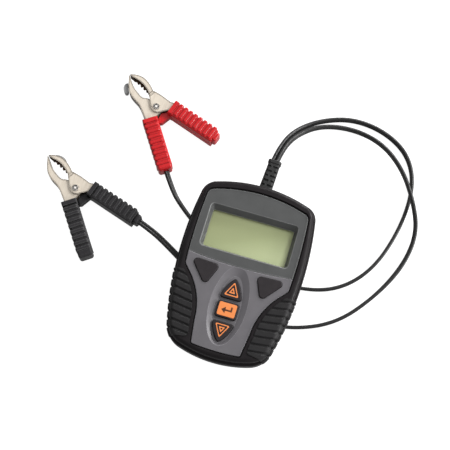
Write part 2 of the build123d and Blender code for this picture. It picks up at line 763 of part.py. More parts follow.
def contact_clip(side, jaw):
    """Insulated clip of the sensing contact, on the outside of one jaw."""
    if side > 0:
        outer = [(3.4, 32.6), (5.6, 31.6), (7.6, 29.2), (8.6, 26.4), (8.6, 23.6)]
        inner = [(7.72, 24.4), (7.0, 27.0), (5.1, 30.7)]
    else:
        outer = [(-5.0, 30.6), (-7.6, 31.4), (-9.4, 30.6), (-11.7, 27.0), (-11.9, 25.2), (-10.5, 24.0)]
        inner = [(-9.2, 24.6), (-7.7, 26.8), (-5.6, 29.9)]
    edges = [Spline(*outer), Spline(outer[-1], *inner, outer[0])]
    return prism(make_face(edges), MID_Z - 2.4, MID_Z + 2.0) - jaw


def grip_sleeve(place, length, side, height_inside, x_range, cap_length):
    """Plastic sleeve over a handle: front collar, ribs round the outer edge and a closed end."""
    edge = max(x_range) if side > 0 else min(x_range)
    inner = min(x_range) if side > 0 else max(x_range)
    core_x = sorted((inner, edge - side * RIB_SIDE_DEPTH))
    core = block(core_x, (-length, 0), (RIB_DEPTH, GRIP_HEIGHT - RIB_DEPTH))
    core = fillet(core.edges().filter_by(Axis.Y), GRIP_ROUND)
    collar = block(x_range, (-COLLAR_LENGTH, 0), (0, GRIP_HEIGHT))
    body = core + fillet(collar.edges().filter_by(Axis.Y), GRIP_ROUND)
    ribs_start = COLLAR_LENGTH + 1.2
    pitch = (length - ribs_start) / GRIP_RIBS
    rib_x = sorted((inner + side * 1.0, edge))
    for i in range(GRIP_RIBS):
        back = -ribs_start - (i + 1) * pitch + RIB_GAP
        rib = block(rib_x, (back, back + pitch - RIB_GAP), (0, GRIP_HEIGHT))
        rib = fillet(rib.edges().filter_by(Axis.Y), GRIP_ROUND)
        body += fillet(rib.edges().filter_by(Axis.Y, reverse=True), RIB_ROUND)
    body += end_cap(length, side, x_range, cap_length)
    pocket_half = HANDLE_WIDTH / 2
    pocket = rounded_rectangle((-pocket_half, pocket_half), (-HANDLE_LENGTH, 5.0), 0.8)
    body -= prism(pocket, MID_Z - height_inside, MID_Z + height_inside)
    return place * (body - crimp_barrel(length + LEAD_END_GAP))


def end_cap(length, side, sleeve_x, cap_length):
    """Closed end of a sleeve: small and stepped on the right, full width and round on the left."""
    inset, step, rounding = (2.2, 1.8, 1.4) if side > 0 else (0.5, 0.4, 2.2)
    x_range = (sleeve_x[0] + inset, sleeve_x[1] - inset)
    z_range = (step, GRIP_HEIGHT - step)
    cap = block(x_range, (-length - cap_length, -length + 1.5), z_range)
    cap = fillet(cap.edges().filter_by(Axis.Y), GRIP_ROUND + 0.5)
    return fillet(cap.faces().sort_by(Axis.Y)[0].edges(), rounding)


def right_grip(has_lead):
    """Right sleeve with the lug that guards the spring between the handles."""
    half = GRIP_WIDTH / 2
    cap_length = RIGHT_LEAD_CAP_LENGTH if has_lead else RIGHT_CAP_LENGTH
    sleeve = grip_sleeve(RIGHT_HANDLE, RIGHT_GRIP_LENGTH, 1, OUTER_HALF_HEIGHT, (-half, half), cap_length)
    lug = [
        (0.0, -6.4), (5.6, -8.8), (6.2, -13.1), (1.5, -13.0),
        (-4.6, -13.1), (-6.6, -11.6), (-4.6, -8.2),
    ]
    return sleeve + prism(rounded_polygon(lug, 0.7), MID_Z - 2.7, MID_Z + 2.7)


def left_grip(has_lead):
    """Left sleeve, slotted so that the right sleeve's lug can swing into it."""
    half = GRIP_WIDTH / 2
    x_range = (-half - LEFT_GRIP_SHIFT, half - LEFT_GRIP_SHIFT)
    length = LEFT_LEAD_GRIP_LENGTH if has_lead else LEFT_GRIP_LENGTH
    cap_length = LEFT_LEAD_CAP_LENGTH if has_lead else LEFT_CAP_LENGTH
    sleeve = grip_sleeve(LEFT_HANDLE, length, -1, INNER_HALF_HEIGHT, x_range, cap_length)
    slot = block((HANDLE_WIDTH / 2 - 1.0, half + 2), (-13.5, 1.0), (MID_Z - 3.0, MID_Z + 3.0))
    return sleeve - LEFT_HANDLE * slot


def crimp_barrel(length):
    """Round barrel between the end cap and the steel handle."""
    depth = length - HANDLE_LENGTH
    return Pos(0, -length + depth / 2, MID_Z) * Rot(90, 0, 0) * Cylinder(2.1, depth)


def crimp_terminal(place, length):
    """Crimped end of the lead inside its handle, with a tongue between the steel cheeks."""
    tongue = block((-1.6, 1.6), (-HANDLE_LENGTH - 1, -HANDLE_LENGTH + 6), (MID_Z - 0.5, MID_Z + 0.5))
    return place * (crimp_barrel(length) + tongue)


def clamp(colour, place, lead_side):
    """All pieces of one clamp. lead_side is 1 with the lead in the right handle, -1 in the left."""
    x, y, turn = place
    here = Pos(x, y, 0) * Rot(0, 0, turn)
    handles = {1: (RIGHT_HANDLE, RIGHT_GRIP_LENGTH), -1: (LEFT_HANDLE, LEFT_LEAD_GRIP_LENGTH)}
    halves = {1: right_half(), -1: left_half()}
    pieces = {
        "right_half": halves[1],
        "left_half": halves[-1],
        "right_grip": right_grip(lead_side > 0),
        "left_grip": left_grip(lead_side < 0),
        "rivet": rivet(),
        "spring": torsion_spring(),
        "toothed_contact": toothed_contact(),
        "contact_clip": contact_clip(lead_side, halves[lead_side]),
        "crimp_terminal": crimp_terminal(*handles[lead_side]),
    }
    for name, shape in pieces.items():
        keep(f"{colour}_{name}", here * shape)


# ================================================================ assembly
def build():
    neck = relief_place() * relief_neck(RELIEF_WIDTH, RELIEF_HEIGHT, -0.001, 8.0)
    flange_room = relief_place() * relief_neck(RELIEF_WIDTH + 3.2, RELIEF_HEIGHT + 3.2, -2.1, 0.0)
    cutter = neck + flange_room

    outside_pocket = front_body(3.0) - front_body(-1.6)
    grip_blocks = {side: outside_pocket & grip_region(side) for side in (-1, 1)}
    keep("front_cover", front_cover(cutter, grip_blocks.values()))
    keep("rear_cover", rear_cover(cutter))
    keep("left_hand_grip", hand_grip(grip_blocks[-1]))
    keep("right_hand_grip", hand_grip(grip_blocks[1]))
    keep("display_bezel", display_bezel())
    keep("keypad_panel", keypad_panel())
    keep("lcd_window", window_plate())
    keep("lcd_glass", lcd_glass())
    keep("lcd_frame", lcd_frame())
    keep("backlight", backlight())
    keep("main_board", main_board())
    keep("keypad_membrane", keypad_membrane())
    keep("tactile_switches", tactile_switches())
    keep("load_resistors", load_resistors())
    keep("relay", relay())
    keep("capacitors", capacitors())
    keep("beeper", beeper())
    keep("processor_chip", processor_chip())
    keep("driver_chips", driver_chips())
    keep("case_screws", case_screws())
    keep("board_screws", board_screws())
    keep("rubber_feet", feet())
    for name, (plan, top) in KEY_PLANS.items():
        keep(name, key(plan, top))
    keep("red_lead", lead("red_lead", RED_ROUTE))
    keep("black_lead", lead("black_lead", BLACK_ROUTE))
    clamp("red", RED_CLAMP, -1)
    clamp("black", BLACK_CLAMP, 1)

    leads = parts["red_lead"] + parts["black_lead"]
    relief = keep("strain_relief", strain_relief() - leads)
    keep("inner_wires", inner_wires() - relief)
    for grip in ("red_left_grip", "black_right_grip"):
        keep(grip, parts[grip] - leads)


build()
os.makedirs("parts", exist_ok=True)
for node, shape in parts.items():
    export_step(shape, f"parts/{node}.step")
print(len(parts), "parts written")
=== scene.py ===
import json
import math

import bpy
import numpy as np
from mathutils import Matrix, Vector


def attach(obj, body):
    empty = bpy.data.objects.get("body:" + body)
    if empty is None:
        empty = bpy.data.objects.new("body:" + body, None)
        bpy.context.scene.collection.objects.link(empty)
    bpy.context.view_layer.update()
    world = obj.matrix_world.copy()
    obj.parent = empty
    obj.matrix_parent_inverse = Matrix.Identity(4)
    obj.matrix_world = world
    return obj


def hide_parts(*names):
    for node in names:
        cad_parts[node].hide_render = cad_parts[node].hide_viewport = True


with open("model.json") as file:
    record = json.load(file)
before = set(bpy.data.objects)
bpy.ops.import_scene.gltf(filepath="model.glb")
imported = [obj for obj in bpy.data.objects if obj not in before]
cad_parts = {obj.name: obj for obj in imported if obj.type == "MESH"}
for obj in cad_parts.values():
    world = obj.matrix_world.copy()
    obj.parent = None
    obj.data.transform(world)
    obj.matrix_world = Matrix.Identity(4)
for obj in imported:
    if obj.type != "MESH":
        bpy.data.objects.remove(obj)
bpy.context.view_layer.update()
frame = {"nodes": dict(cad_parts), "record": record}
nodes = frame["nodes"]
scene = bpy.context.scene

# Blender works in metres. MM turns a size in millimetres into metres.
MM = 0.001

# ---------------------------------------------------------------- camera
CAMERA_TARGET = Vector((-22.18, 38.9, 0.0)) * MM
CAMERA_AZIMUTH = math.radians(16.4246)
CAMERA_ELEVATION = math.radians(75.0)
CAMERA_DISTANCE = 0.9
# Focal length and sensor width, in millimetres as Blender takes them.
CAMERA_LENS = 92.31
CAMERA_SENSOR = 36.0

# ---------------------------------------------------------------- leads
STRAND_RADIUS = 1.4 * MM
STRAND_OFFSET = 1.05 * MM
OUTLINE_STEPS = 14
SAMPLES_PER_SPAN = 12

# The routes run from the strain relief to the clamps. Their points are in millimetres, and FLOOR is
# the height of a lead's middle where it lies on the table.
FLOOR = 2.5
RED_ROUTE = [
    (0.3, 94.1, 17.0), (1.8, 106.0, 16.4), (8.8, 125.4, 9.5), (26.8, 141.8, 4.0),
    (52.0, 151.0, FLOOR), (79.2, 147.3, FLOOR), (101.2, 133.5, FLOOR), (111.5, 109.0, FLOOR),
    (109.4, 73.6, FLOOR), (97.4, 36.2, FLOOR), (75.1, 12.8, FLOOR), (44.4, 4.7, FLOOR),
    (15.0, 9.0, FLOOR), (-14.0, 16.5, FLOOR), (-40.0, 29.0, FLOOR), (-59.5, 43.5, 3.2),
    (-69.4, 53.0, 6.3), (-79.24, 67.72, 7.5),
]
BLACK_ROUTE = [
    (3.62, 93.9, 17.0), (4.95, 105.8, 16.4), (12.0, 122.6, 10.5), (28.6, 137.2, 6.0),
    (54.2, 142.8, FLOOR), (79.0, 136.0, 6.0), (98.5, 118.5, 10.8), (112.9, 96.0, 10.8),
    (122.6, 73.2, 5.5), (119.0, 46.0, FLOOR), (104.0, 16.0, FLOOR), (81.0, -12.0, FLOOR),
    (50.0, -26.0, FLOOR), (20.0, -28.0, FLOOR), (-10.0, -18.0, FLOOR), (-38.0, -3.0, FLOOR),
    (-61.0, 10.5, 3.2), (-75.0, 17.2, 6.3), (-89.34, 21.96, 7.5),
]

# How far each flex is turned about its own line: (millimetres along it, degrees).
RED_TWISTS = [(0, 77), (130, 77), (190, 88), (280, 84), (325, 68), (385, 80), (436, 45)]
BLACK_TWISTS = [
    (0, 75), (150, 85), (215, 68), (250, 88), (335, 80), (365, 50), (392, 5), (460, 0),
]


def place_camera():
    """A camera that looks down at the middle of the scene, turned a little about Z."""
    level = math.cos(CAMERA_ELEVATION) * CAMERA_DISTANCE
    offset = Vector((
        math.sin(CAMERA_AZIMUTH) * level,
        -math.cos(CAMERA_AZIMUTH) * level,
        math.sin(CAMERA_ELEVATION) * CAMERA_DISTANCE,
    ))
    data = bpy.data.cameras.new("camera")
    data.lens = CAMERA_LENS
    data.sensor_width = CAMERA_SENSOR
    camera = bpy.data.objects.new("camera", data)
    camera.location = CAMERA_TARGET + offset
    camera.rotation_euler = (-offset).to_track_quat("-Z", "Y").to_euler()
    scene.collection.objects.link(camera)
    scene.camera = camera


place_camera()


# ================================================================ mesh helpers
def link_mesh(name, vertices, faces, smooth=True):
    """A new object in the scene, with the given points and faces."""
    mesh = bpy.data.meshes.new(name)
    mesh.from_pydata([tuple(v) for v in vertices], [], faces)
    mesh.validate()
    for polygon in mesh.polygons:
        polygon.use_smooth = smooth
    thing = bpy.data.objects.new(name, mesh)
    scene.collection.objects.link(thing)
    return thing


def route_points(name, route):
    """Points along the smooth line of a route: a NURBS curve with no bevel, made into a mesh."""
    data = bpy.data.curves.new(name + "_line", "CURVE")
    data.dimensions = "3D"
    data.resolution_u = SAMPLES_PER_SPAN
    spline = data.splines.new("NURBS")
    spline.points.add(len(route) - 1)
    for point, place in zip(spline.points, route):
        point.co = (*(c * MM for c in place), 1.0)
    spline.order_u = 3
    spline.use_endpoint_u = True
    line = bpy.data.objects.new(name + "_line", data)
    scene.collection.objects.link(line)
    bpy.context.view_layer.update()
    depsgraph = bpy.context.evaluated_depsgraph_get()
    mesh = bpy.data.meshes.new_from_object(line.evaluated_get(depsgraph))
    points = [v.co.copy() for v in mesh.vertices]
    bpy.data.meshes.remove(mesh)
    bpy.data.objects.remove(line)
    bpy.data.curves.remove(data)
    return points


def figure_eight():
    """Outline of the twin flex: two round strands that run into each other."""
    meet = math.acos(STRAND_OFFSET / STRAND_RADIUS)
    half_sweep = math.pi - meet
    outline = []
    for side in (1, -1):
        start = (0.0 if side > 0 else math.pi) - half_sweep
        for i in range(OUTLINE_STEPS + 1):
            angle = start + 2 * half_sweep * i / OUTLINE_STEPS
            x = side * STRAND_OFFSET + STRAND_RADIUS * math.cos(angle)
            outline.append((x, STRAND_RADIUS * math.sin(angle)))
    return outline


def twist_at(distance, table):
    """Angle in radians of a flex about its own line, at a distance along it in millimetres."""
    places = [row[0] for row in table]
    angles = [row[1] for row in table]
    return math.radians(float(np.interp(distance, places, angles)))


def twin_flex(name, route, twists):
    """The flex swept along its route. At 0 degrees it lies flat, and at 90 it stands on edge."""
    points = route_points(name, route)
    outline = figure_eight()
    vertices, faces = [], []
    travelled = 0.0
    for i, point in enumerate(points):
        if i:
            travelled += (point - points[i - 1]).length
        ahead = points[min(i + 1, len(points) - 1)] - points[max(i - 1, 0)]
        along = ahead.normalized()
        level = Vector((-along.y, along.x, 0.0)).normalized()
        up = along.cross(level)
        turn = twist_at(travelled / MM, twists)
        wide = level * math.cos(turn) + up * math.sin(turn)
        thick = up * math.cos(turn) - level * math.sin(turn)
        for a, b in outline:
            vertices.append(point + wide * a + thick * b)
    ring = len(outline)
    for i in range(len(points) - 1):
        for j in range(ring):
            k = (j + 1) % ring
            faces.append((i * ring + j, i * ring + k, (i + 1) * ring + k, (i + 1) * ring + j))
    faces.append(tuple(range(ring)))
    faces.append(tuple(reversed(range((len(points) - 1) * ring, len(points) * ring))))
    flex = link_mesh(name, vertices, faces)
    length = sum((b - a).length for a, b in zip(points, points[1:]))
    return flex, points, length


def clamp_nodes(colour):
    """Names of the CAD nodes that make up one clamp."""
    ends = (
        "right_half", "left_half", "right_grip", "left_grip", "rivet", "spring",
        "toothed_contact", "contact_clip", "crimp_terminal",
    )
    return [f"{colour}_{end}" for end in ends]


def make_leads():
    """The two leads. Each replaces the CAD tube of the same route."""
    made = []
    settings = (("red", RED_ROUTE, RED_TWISTS), ("black", BLACK_ROUTE, BLACK_TWISTS))
    for colour, route, twists in settings:
        flex, points, length = twin_flex(f"{colour}_flex", route, twists)
        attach(flex, "tester")
        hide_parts(f"{colour}_lead")
        pieces = [nodes[n] for n in clamp_nodes(colour)]
        if colour == "red":
            pieces.append(nodes["strain_relief"])
        made.append(flex)
    return made


leads = make_leads()


# ================================================================ material helpers
BEVEL_SAMPLES = 4
CREASE_SAMPLES = 8

# Fall of the bevelled normal's likeness to the face's normal that counts as right on an edge.
EDGE_REACH = 0.03

# Upward part of a face's normal: level faces lie above the first, upright ones below the second.
LEVEL_FROM = 0.75
UPRIGHT_TO = 0.35

# Openness of a face: flat ones lie above the first, the bottoms of grooves below the second.
OPEN_FROM = 0.96
DEEP_TO = 0.66

# Nearly all of a noise's values lie between these two.
NOISE_LOW = 0.3
NOISE_HIGH = 0.7


class Surface:
    """A material with its node tree, built up a layer at a time. Edge radii are in millimetres."""

    def __init__(self, name, rough=0.5, metallic=0.0, specular=0.3, edge=0.3):
        self.material = bpy.data.materials.new(name)
        self.material.use_nodes = True
        self.tree = self.material.node_tree
        self.shader = self.tree.nodes["Principled BSDF"]
        self.shader.inputs["Roughness"].default_value = rough
        self.shader.inputs["Metallic"].default_value = metallic
        self.shader.inputs["Specular IOR Level"].default_value = specular
        self.place = self.add("ShaderNodeTexCoord").outputs["Object"]
        self.normal = None
        if edge:
            rounding = self.add("ShaderNodeBevel", samples=BEVEL_SAMPLES)
            rounding.inputs["Radius"].default_value = edge * MM
            self.normal = rounding.outputs["Normal"]

    def add(self, kind, **values):
        """A new node of the tree, with its settings."""
        node = self.tree.nodes.new(kind)
        for name, value in values.items():
            setattr(node, name, value)
        return node

    def join(self, source, target):
        self.tree.links.new(source, target)

    def spread(self, value, low, high, to_low=0.0, to_high=1.0):
        """The range from low to high stretched to another one, and cut off at its ends."""
        node = self.add("ShaderNodeMapRange")
        node.inputs["From Min"].default_value = low
        node.inputs["From Max"].default_value = high
        node.inputs["To Min"].default_value = to_low
        node.inputs["To Max"].default_value = to_high
        self.join(value, node.inputs["Value"])
        return node.outputs["Result"]

    def edges(self, radius):
        """1 along sharp edges, falling to 0 within the given radius in millimetres."""
        rounding = self.add("ShaderNodeBevel", samples=BEVEL_SAMPLES)
        rounding.inputs["Radius"].default_value = radius * MM
        face = self.add("ShaderNodeNewGeometry")
        likeness = self.add("ShaderNodeVectorMath", operation="DOT_PRODUCT")
        self.join(rounding.outputs["Normal"], likeness.inputs[0])
        self.join(face.outputs["Normal"], likeness.inputs[1])
        return self.spread(likeness.outputs["Value"], 1.0, 1.0 - EDGE_REACH)

    def standing(self):
        """1 on upright faces and 0 on level ones."""
        face = self.add("ShaderNodeNewGeometry")
        parts = self.add("ShaderNodeSeparateXYZ")
        self.join(face.outputs["Normal"], parts.inputs["Vector"])
        upward = self.math("ABSOLUTE", parts.outputs["Z"], 0.0)
        return self.spread(upward, LEVEL_FROM, UPRIGHT_TO)

    def creases(self, reach):
        """Ambient occlusion as a mask for painted shade: 1 deep in grooves and folds that are about
        as wide as reach, and 0 on open faces.
        """
        cover = self.add("ShaderNodeAmbientOcclusion", samples=CREASE_SAMPLES)
        cover.inputs["Distance"].default_value = reach
        return self.spread(cover.outputs["AO"], OPEN_FROM, DEEP_TO)

    def stretched(self, scales, turn):
        """Object coordinates turned about Z, then scaled, for grain that runs one way."""
        mapping = self.add("ShaderNodeMapping")
        mapping.inputs["Rotation"].default_value = (0.0, 0.0, turn)
        mapping.inputs["Scale"].default_value = scales
        self.join(self.place, mapping.inputs["Vector"])
        return mapping.outputs["Vector"]

    def noise(self, size, detail, rough, place=None):
        """Noise with blobs of about the given size in metres. Its values lie round 0.5."""
        noise = self.add("ShaderNodeTexNoise")
        noise.inputs["Scale"].default_value = 1.0 / size
        noise.inputs["Detail"].default_value = detail
        noise.inputs["Roughness"].default_value = rough
        self.join(place or self.place, noise.inputs["Vector"])
        return noise.outputs["Fac"]

    def ramp(self, value, stops):
        """Colours or greys placed along a value: stops are (position, colour)."""
        ramp = self.add("ShaderNodeValToRGB")
        for index, (position, colour) in enumerate(stops):
            if index < 2:
                element = ramp.color_ramp.elements[index]
                element.position = position
            else:
                element = ramp.color_ramp.elements.new(position)
            element.color = (*colour, 1.0)
        self.join(value, ramp.inputs["Fac"])
        return ramp.outputs["Color"]

    def math(self, operation, a, b):
        """One sum. Each side is a number or another node's output."""
        node = self.add("ShaderNodeMath", operation=operation)
        for socket, value in zip(node.inputs, (a, b)):
            if isinstance(value, (int, float)):
                socket.default_value = value
            else:
                self.join(value, socket)
        return node.outputs["Value"]

    def mix(self, factor, a, b):
        """Colour a where the factor is 0 and colour b where it is 1."""
        node = self.add("ShaderNodeMix", data_type="RGBA")
        for socket, value in ((node.inputs[0], factor), (node.inputs[6], a), (node.inputs[7], b)):
            if isinstance(value, (int, float)):
                socket.default_value = value
            elif isinstance(value, tuple):
                socket.default_value = (*value, 1.0)
            else:
                self.join(value, socket)
        return node.outputs[2]

    def colour(self, value):
        """Makes the value the base colour."""
        self.join(value, self.shader.inputs["Base Color"])

    def drift(self, dark, light, size, painted_edge_shading=None, radius=0.0):
        """A colour that drifts between two close tones, with another tone along the edges: a
        painted highlight where it is lighter, painted shade where it is darker.
        """
        patches = self.noise(size, 4.0, 0.6)
        tone = self.ramp(patches, [(NOISE_LOW, dark), (NOISE_HIGH, light)])
        if painted_edge_shading:
            tone = self.mix(self.edges(radius), tone, painted_edge_shading)
        return tone

    def two_tone(self, dark, light, size, painted_edge_shading=None, radius=0.0):
        """Makes a drifting colour the base colour."""
        self.colour(self.drift(dark, light, size, painted_edge_shading, radius))

    def patchy_gloss(self, low, high, size, place=None):
        """Roughness that wanders between two values."""
        patches = self.noise(size, 3.0, 0.6, place)
        rough = self.spread(patches, NOISE_LOW, NOISE_HIGH, low, high)
        self.join(rough, self.shader.inputs["Roughness"])

    def relief(self, height, depth, strength):
        """Bump of the given depth in metres. Calls add up."""
        bump = self.add("ShaderNodeBump")
        bump.inputs["Strength"].default_value = strength
        bump.inputs["Distance"].default_value = depth
        self.join(height, bump.inputs["Height"])
        if self.normal is not None:
            self.join(self.normal, bump.inputs["Normal"])
        self.normal = bump.outputs["Normal"]
        self.join(self.normal, self.shader.inputs["Normal"])

    def grain(self, size, depth, strength, place=None):
        """Fine bumps all over the surface."""
        self.relief(self.noise(size, 2.0, 0.5, place), depth, strength)


def grey(value, warm=0.0):
    """A grey with a little more red and less blue in it when warm is above 0."""
    return (value * (1 + warm), value, value * (1 - warm))


# ================================================================ materials
def case_plastic():
    s = Surface("case_plastic", specular=0.12, edge=0.4)
    s.two_tone((0.0105, 0.0088, 0.0097), (0.0136, 0.0117, 0.0128), 9 * MM)
    s.patchy_gloss(0.34, 0.44, 6 * MM)
    s.grain(0.45 * MM, 0.05 * MM, 0.5)
    return s.material


def grip_rubber():
    s = Surface("grip_rubber", specular=0.26, edge=0.5)
    s.two_tone((0.009, 0.0084, 0.009), (0.0138, 0.013, 0.0138), 7 * MM)
    s.patchy_gloss(0.44, 0.58, 4 * MM)
    s.grain(0.35 * MM, 0.05 * MM, 0.6)
    return s.material


def lead_rubber():
    """Smooth rubber, with painted shade in the groove between the two strands."""
    s = Surface("lead_rubber", edge=0.0)
    s.two_tone(grey(0.0145), grey(0.0195), 12 * MM, painted_edge_shading=grey(0.002), radius=0.55)
    s.patchy_gloss(0.3, 0.38, 8 * MM)
    return s.material


def relief_rubber():
    s = Surface("relief_rubber")
    s.two_tone(grey(0.013), grey(0.019), 6 * MM)
    s.patchy_gloss(0.45, 0.6, 3 * MM)
    s.grain(0.4 * MM, 0.04 * MM, 0.5)
    return s.material


def bezel_plastic():
    s = Surface("bezel_plastic", specular=0.4, edge=0.5)
    # The third tone is a painted highlight along the edges.
    dark, light, painted_edge_shading = (0.055, 0.0565, 0.0565), (0.066, 0.0675, 0.0675), (0.27, 0.275, 0.275)
    s.two_tone(dark, light, 14 * MM, painted_edge_shading, radius=0.6)
    s.patchy_gloss(0.3, 0.4, 8 * MM)
    s.grain(0.3 * MM, 0.03 * MM, 0.3)
    return s.material


def panel_plastic():
    s = Surface("panel_plastic", specular=0.4, edge=0.5)
    # The third tone is a painted highlight along the edges.
    dark, light, painted_edge_shading = (0.104, 0.099, 0.107), (0.12, 0.114, 0.123), (0.3, 0.29, 0.31)
    s.two_tone(dark, light, 14 * MM, painted_edge_shading, radius=0.4)
    s.patchy_gloss(0.34, 0.44, 8 * MM)
    s.grain(0.3 * MM, 0.03 * MM, 0.3)
    return s.material


def key_dark():
    s = Surface("key_dark", specular=0.22, edge=0.4)
    s.two_tone((0.0165, 0.0137, 0.0152), (0.021, 0.0175, 0.0195), 5 * MM)
    s.patchy_gloss(0.45, 0.58, 3 * MM)
    s.grain(0.35 * MM, 0.03 * MM, 0.5)
    return s.material


def key_orange():
    s = Surface("key_orange", edge=0.15)
    s.two_tone((0.66, 0.2, 0.055), (0.73, 0.235, 0.068), 5 * MM)
    s.patchy_gloss(0.42, 0.55, 3 * MM)
    s.grain(0.3 * MM, 0.02 * MM, 0.4)
    return s.material


def sign_brown():
    s = Surface("sign_brown", edge=0.0)
    s.two_tone((0.06, 0.02, 0.008), (0.08, 0.028, 0.012), 3 * MM)
    s.patchy_gloss(0.45, 0.55, 2 * MM)
    s.grain(0.3 * MM, 0.02 * MM, 0.3)
    return s.material


# Painted light: the display gets lighter towards +X and -Y. The slopes are per metre along each.
LCD_LIGHT_SLOPE_X = 6.0
LCD_LIGHT_SLOPE_Y = -14.0
LCD_LIGHT_SLOPE_START = 0.84
LCD_TONES = [
    (0.1, (0.37, 0.4, 0.205)),
    (0.46, (0.42, 0.465, 0.245)),
    (0.9, (0.7, 0.78, 0.46)),
]
LCD_CELL = 0.6 * MM
LCD_GAP = 0.06


def lcd_face():
    """Green liquid-crystal glass with a faint grid of cells, and painted light that makes it
    lighter towards +X and -Y.
    """
    s = Surface("lcd_face", rough=0.35, specular=0.2, edge=0.0)
    parts = s.add("ShaderNodeSeparateXYZ")
    s.join(s.place, parts.inputs["Vector"])
    across = s.math("MULTIPLY", parts.outputs["X"], LCD_LIGHT_SLOPE_X)
    down = s.math("MULTIPLY", parts.outputs["Y"], LCD_LIGHT_SLOPE_Y)
    painted_light = s.math("ADD", s.math("ADD", across, down), LCD_LIGHT_SLOPE_START)
    s.colour(s.ramp(painted_light, LCD_TONES))
    cells = s.add("ShaderNodeTexBrick", offset=0.0)
    cells.inputs["Scale"].default_value = 1.0 / LCD_CELL
    cells.inputs["Mortar Size"].default_value = LCD_GAP
    cells.inputs["Brick Width"].default_value = 1.0
    cells.inputs["Row Height"].default_value = 1.0
    s.join(s.place, cells.inputs["Vector"])
    s.relief(cells.outputs["Fac"], 0.01 * MM, 0.2)
    return s.material


def window_clear():
    """Clear window over the display, with a trace of smoke in it."""
    s = Surface("window_clear", rough=0.06, specular=0.4, edge=0.0)
    s.shader.inputs["Alpha"].default_value = 0.1
    s.two_tone((0.03, 0.033, 0.03), (0.04, 0.044, 0.04), 20 * MM)
    s.patchy_gloss(0.06, 0.14, 15 * MM)
    return s.material


def vinyl(name, dark, light, painted_ridge_shading, painted_crease_shade=None, specular=0.4):
    """Dipped vinyl of the clamp sleeves, with painted shading along the rib edges and, where given,
    painted shade deep between the ribs.
    """
    s = Surface(name, specular=specular, edge=0.35)
    tone = s.drift(dark, light, 8 * MM, painted_edge_shading=painted_ridge_shading, radius=0.7)
    if painted_crease_shade:
        tone = s.mix(s.creases(2.5 * MM), tone, painted_crease_shade)
    s.colour(tone)
    s.patchy_gloss(0.22, 0.34, 4 * MM)
    s.grain(3.0 * MM, 0.1 * MM, 0.4)
    s.grain(0.3 * MM, 0.02 * MM, 0.4)
    return s.material


STEEL_TONES = [(0.25, (0.62, 0.545, 0.45)), (0.75, (0.73, 0.66, 0.56))]
# Painted shade for the upright faces, then painted shade for the edges.
STEEL_SIDE_SHADE = (0.24, 0.2, 0.16)
STEEL_EDGE_SHADE = (0.05, 0.038, 0.03)
BRUSHED_ALONG = math.radians(-55)


def jaw_steel():
    """Plated sheet steel: brushed level faces, painted shade on the folds that stand up, and
    painted shade along the edges.
    """
    s = Surface("jaw_steel", metallic=0.25, specular=0.5, edge=0.5)
    streaks = s.stretched((1.0, 0.12, 1.0), BRUSHED_ALONG)
    tone = s.ramp(s.noise(1.2 * MM, 4.0, 0.6, streaks), STEEL_TONES)
    tone = s.mix(s.standing(), tone, STEEL_SIDE_SHADE)
    s.colour(s.mix(s.edges(1.8), tone, STEEL_EDGE_SHADE))
    s.patchy_gloss(0.28, 0.4, 2.5 * MM, streaks)
    s.grain(0.5 * MM, 0.015 * MM, 0.3, streaks)
    return s.material


def rivet_steel():
    """Bright rivet with painted shade along its rim."""
    s = Surface("rivet_steel", metallic=0.3, specular=0.15)
    s.two_tone(grey(0.85, 0.05), grey(0.92, 0.05), 3 * MM, painted_edge_shading=grey(0.05), radius=1.0)
    s.patchy_gloss(0.2, 0.3, 1.5 * MM)
    s.grain(0.4 * MM, 0.02 * MM, 0.4)
    return s.material


def plain_metal(name, dark, light, low, high):
    """Bare metal between two tones, with roughness between low and high."""
    s = Surface(name, metallic=1.0)
    s.two_tone(dark, light, 3 * MM)
    s.patchy_gloss(low, high, 1.5 * MM)
    s.grain(0.4 * MM, 0.02 * MM, 0.4)
    return s.material


def plain_plastic(name, dark, light, low, high, grain=0.4):
    """Moulded plastic or rubber with grain of the given size in millimetres."""
    s = Surface(name, specular=0.35)
    s.two_tone(dark, light, 5 * MM)
    s.patchy_gloss(low, high, 3 * MM)
    s.grain(grain * MM, 0.03 * MM, 0.4)
    return s.material


# Name: (darker tone, lighter tone, lowest roughness, highest roughness).
METALS = {
    "capacitor_sleeve": (grey(0.55), grey(0.65), 0.25, 0.35),
    "screw_steel": (grey(0.38), grey(0.5), 0.3, 0.42),
    "spring_steel": (grey(0.3), grey(0.42), 0.25, 0.4),
    "contact_copper": ((0.07, 0.04, 0.025), (0.16, 0.09, 0.05), 0.45, 0.65),
    "terminal_tin": (grey(0.55), grey(0.65), 0.25, 0.38),
}

# The same, and for two of them the size of their grain in millimetres.
PLASTICS = {
    "foot_rubber": (grey(0.012), grey(0.018), 0.7, 0.85),
    "black_frame": (grey(0.01), grey(0.014), 0.5, 0.6),
    "backlight_white": (grey(0.7, 0.03), grey(0.78, 0.02), 0.5, 0.6),
    "board_green": ((0.01, 0.07, 0.025), (0.014, 0.09, 0.03), 0.3, 0.4),
    "membrane_silicone": (grey(0.4, 0.03), grey(0.46, 0.03), 0.6, 0.7),
    "switch_black": (grey(0.012), grey(0.018), 0.4, 0.5),
    "ceramic_white": (grey(0.6, 0.04), grey(0.68, 0.03), 0.7, 0.85, 0.8),
    "relay_black": (grey(0.012), grey(0.016), 0.25, 0.35),
    "chip_epoxy": (grey(0.011), grey(0.016), 0.55, 0.7, 0.2),
    "wire_insulation": ((0.3, 0.01, 0.01), (0.36, 0.015, 0.012), 0.35, 0.45),
    "clip_grey": (grey(0.26), grey(0.34), 0.4, 0.5),
}

